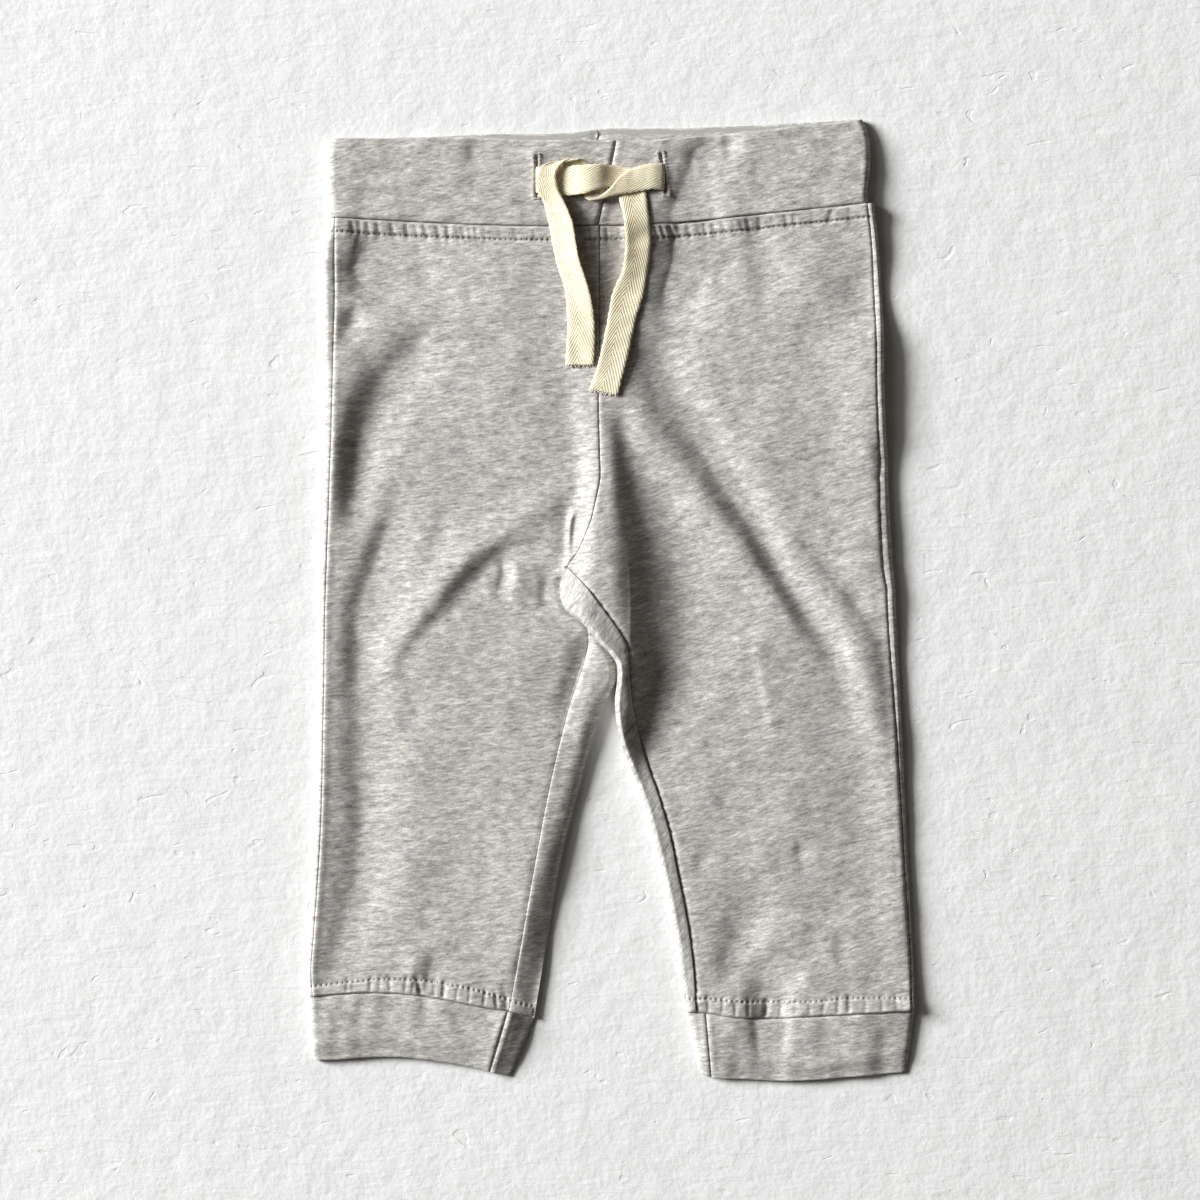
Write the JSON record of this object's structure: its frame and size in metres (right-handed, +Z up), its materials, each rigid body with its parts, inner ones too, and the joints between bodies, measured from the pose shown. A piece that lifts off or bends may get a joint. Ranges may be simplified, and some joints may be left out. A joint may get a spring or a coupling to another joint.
{
  "type": "jogger sweatpants",
  "caption": "Small jogger sweatpants laid flat, front up: grey marl jersey legs, doubled waistband and leg cuffs, cream twill drawstring crossed in a half knot.",
  "frame": {"origin": "centre of the laid garment's outline, on the surface it lies on", "axes": "+Y towards the waistband along the legs, +X to the viewer's right when looking down on the front, +Z up off the surface, out of the front of the garment"},
  "size_m": [0.2418, 0.3842, 0.0095],
  "materials": {
    "jersey": "grey marl cotton jersey, matt, with short pale and dark streaks along the courses",
    "tape": "natural cream cotton herringbone twill tape, matt"
  },
  "bodies": {
    "root": {"front_left_panel": "jersey", "front_right_panel": "jersey", "back_left_panel": "jersey", "back_right_panel": "jersey", "waistband_left": "jersey", "waistband_right": "jersey", "cuff_left": "jersey", "cuff_right": "jersey", "drawstring_left": "tape", "drawstring_right": "tape"}
  },
  "joints": []
}
